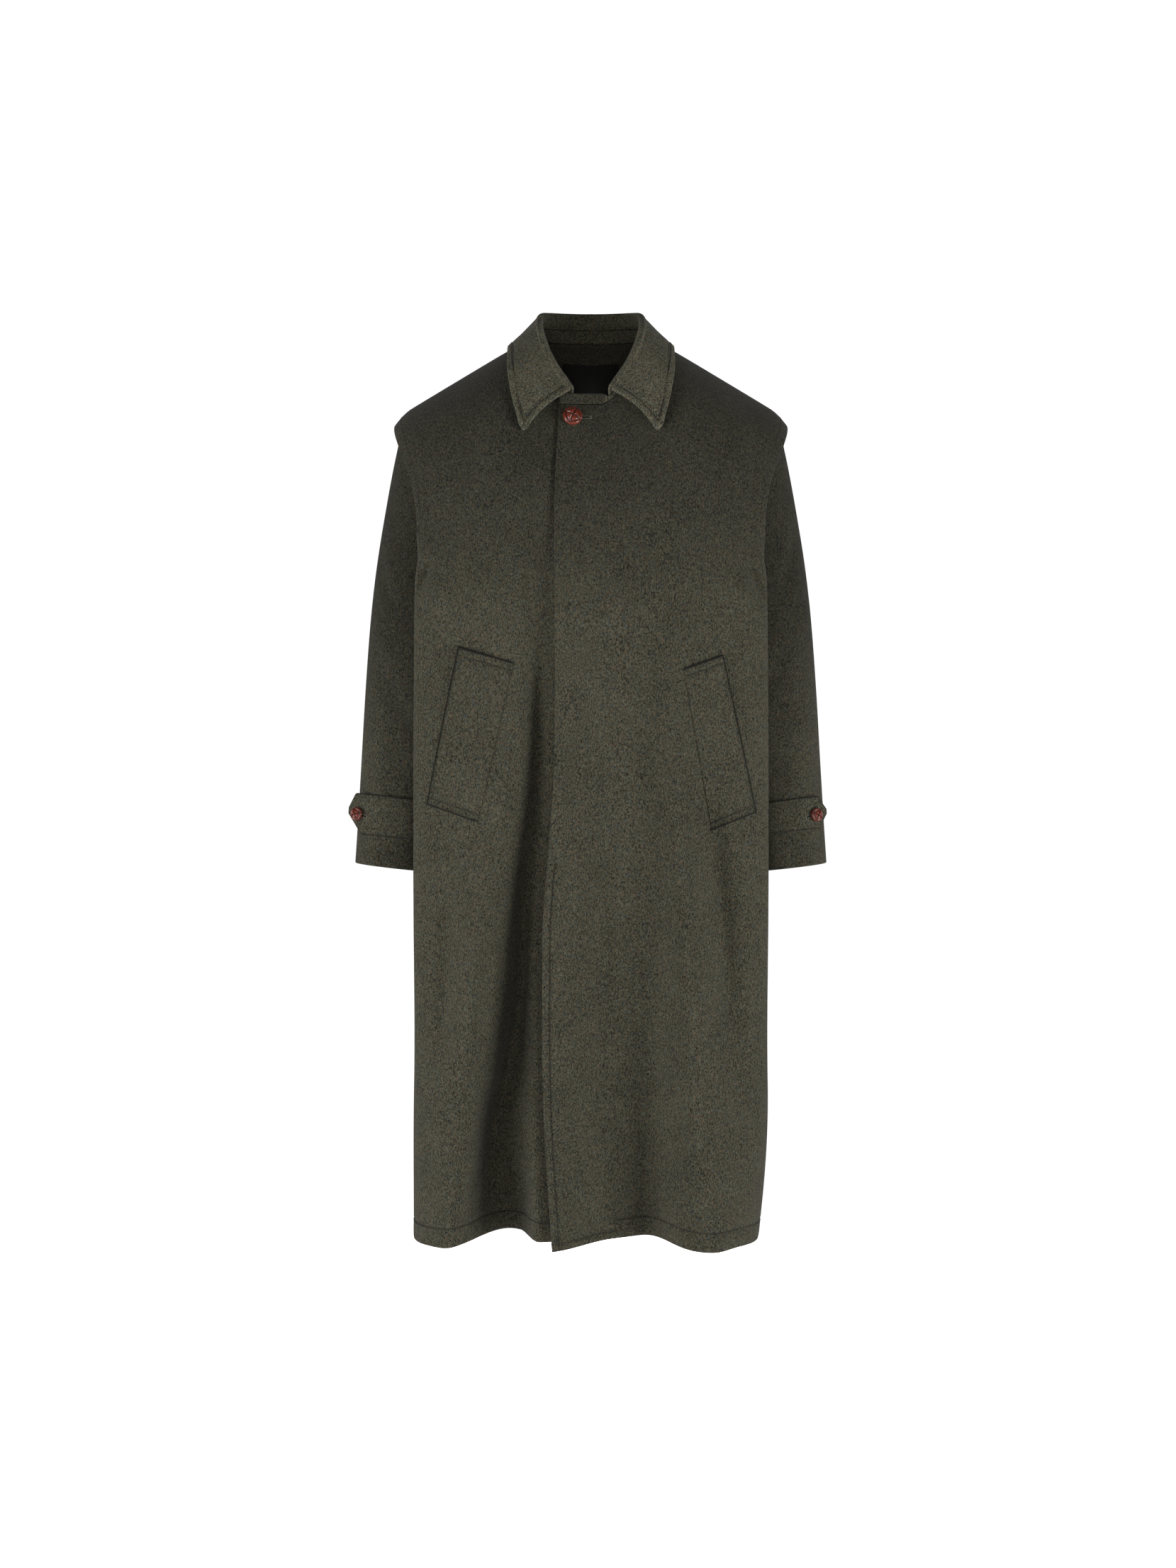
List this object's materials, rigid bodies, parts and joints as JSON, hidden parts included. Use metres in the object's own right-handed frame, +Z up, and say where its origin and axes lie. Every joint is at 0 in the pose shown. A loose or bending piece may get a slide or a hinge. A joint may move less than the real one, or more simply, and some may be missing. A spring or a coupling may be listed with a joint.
{
  "type": "wool coat",
  "caption": "Long straight fulled-wool coat with wing shoulders, covered front, slanted pocket welts, cuff straps and a turned-down collar, filled out and hollow as worn.",
  "frame": {"origin": "midway between the shoulders at the height of the neck points, where the wearer's shoulders carry the coat", "axes": "+Z up, +X to the wearer's left, the front faces -Y"},
  "size_m": [0.6305, 0.332, 1.2368],
  "materials": {
    "fulled_wool": "dark olive melange wool, fulled and brushed, matt with a short nap",
    "label_ribbon": "black woven ribbon, bare",
    "leather_button": "red-brown polished leather strips, woven over a dome"
  },
  "bodies": {
    "root": {"front_left": "fulled_wool", "front_right": "fulled_wool", "back": "fulled_wool", "sleeve_left": "fulled_wool", "sleeve_right": "fulled_wool", "collar": "fulled_wool", "collar_stand": "fulled_wool", "pocket_left": "fulled_wool", "pocket_right": "fulled_wool", "strap_left": "fulled_wool", "strap_right": "fulled_wool", "label": "label_ribbon", "button_collar": "leather_button", "button_cuff_left": "leather_button", "button_cuff_right": "leather_button"}
  },
  "joints": []
}
